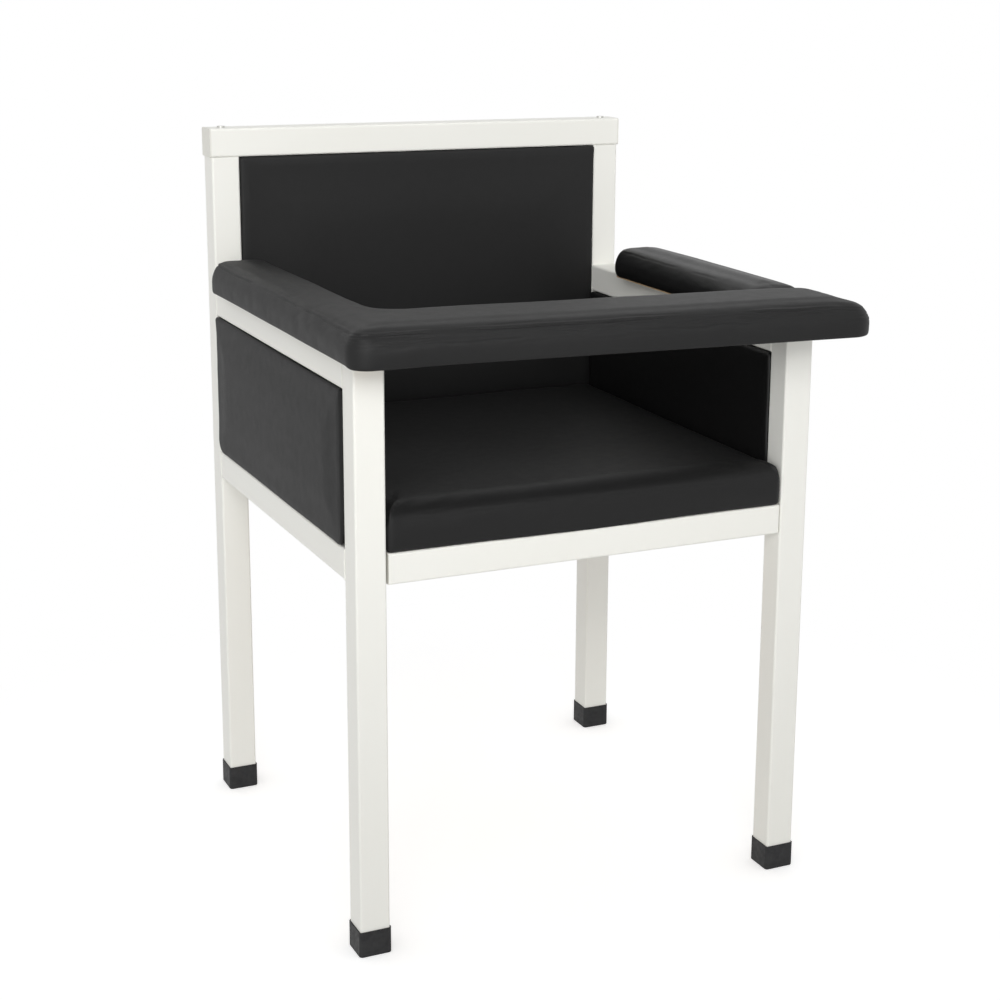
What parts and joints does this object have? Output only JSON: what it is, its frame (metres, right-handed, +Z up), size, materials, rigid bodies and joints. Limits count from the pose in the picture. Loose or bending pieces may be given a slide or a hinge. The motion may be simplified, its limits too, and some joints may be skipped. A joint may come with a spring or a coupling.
{
  "type": "phlebotomy chair",
  "caption": "Square tube armchair for drawing blood, with an upholstered seat, back and side panels, a fixed arm pad and an L-shaped arm whose front bar lifts on a long hinge.",
  "frame": {"origin": "on the floor, at the middle of the footprint of the whole chair, arm bar included", "axes": "+Z up; the sitter faces -Y; +X is to the right as seen from the front, where the bar has its free end"},
  "size_m": [0.6572, 0.6898, 0.9502],
  "materials": {
    "frame_paint": "smooth warm white powder coat",
    "foot_rubber": "black moulded rubber",
    "bumper_rubber": "black moulded rubber",
    "white_plugs": "off-white moulded plastic",
    "zinc_inserts": "zinc plated",
    "zinc_screws": "zinc plated",
    "hinge_steel": "bright rolled strip",
    "spacer_plastic": "black moulded nylon",
    "plywood": "plain birch plywood",
    "seat_vinyl": "black upholstery vinyl, fine leather grain",
    "back_vinyl": "black upholstery vinyl, fine leather grain",
    "side_vinyl": "black upholstery vinyl, fine leather grain",
    "right_arm_vinyl": "black upholstery vinyl, fine leather grain",
    "flip_arm_vinyl": "black upholstery vinyl, fine leather grain",
    "underside_cloth": "thin black woven dust cloth"
  },
  "bodies": {
    "frame": {"left_front_leg": "frame_paint", "right_front_leg": "frame_paint", "left_rear_upright": "frame_paint", "right_rear_upright": "frame_paint", "left_arm_rail": "frame_paint", "right_arm_rail": "frame_paint", "left_lower_rail": "frame_paint", "right_lower_rail": "frame_paint", "top_rail": "frame_paint", "seat_front_rail": "frame_paint", "seat_rear_rail": "frame_paint", "seat_left_rail": "frame_paint", "seat_right_rail": "frame_paint", "foot_cap_front_left": "foot_rubber", "foot_cap_front_right": "foot_rubber", "foot_cap_rear_left": "foot_rubber", "foot_cap_rear_right": "foot_rubber", "left_leg_plug": "white_plugs", "right_leg_plug": "white_plugs", "left_upright_insert": "zinc_inserts", "right_upright_insert": "zinc_inserts", "top_rail_cap_left": "white_plugs", "top_rail_cap_right": "white_plugs", "seat_rail_plugs": "white_plugs", "top_rail_screws": "zinc_screws", "seat_frame_bolts": "zinc_screws", "seat_frame_rivet_nuts": "zinc_inserts", "seat_frame_spacers": "spacer_plastic", "seat_screws": "zinc_screws", "back_panel_screws": "zinc_screws", "left_panel_screws": "zinc_screws", "right_panel_screws": "zinc_screws", "panel_pins": "zinc_screws", "seat_board": "plywood", "seat_cushion": "seat_vinyl", "back_board": "plywood", "back_pad_front": "back_vinyl", "back_pad_rear": "back_vinyl", "left_side_board": "plywood", "left_side_pad_outer": "side_vinyl", "left_side_pad_inner": "side_vinyl", "right_side_board": "plywood", "right_side_pad_outer": "side_vinyl", "right_side_pad_inner": "side_vinyl", "right_arm_screws": "zinc_screws", "right_arm_board": "plywood", "right_arm_pad": "right_arm_vinyl", "hinge_rail_leaf": "hinge_steel", "hinge_pin": "hinge_steel", "hinge_rail_screws": "zinc_screws", "rest_bumper": "bumper_rubber"},
    "flip_arm": {"arm_board": "plywood", "arm_pad": "flip_arm_vinyl", "arm_underside_cover": "underside_cloth", "hinge_arm_leaf": "hinge_steel", "hinge_arm_screws": "zinc_screws"}
  },
  "joints": [
    {"name": "arm_hinge", "type": "hinge", "parent": "frame", "child": "flip_arm", "pos_m": [-0.30925, 0.005, 0.7353], "axis": [0, -1, 0], "range_deg": [0, 100]}
  ]
}
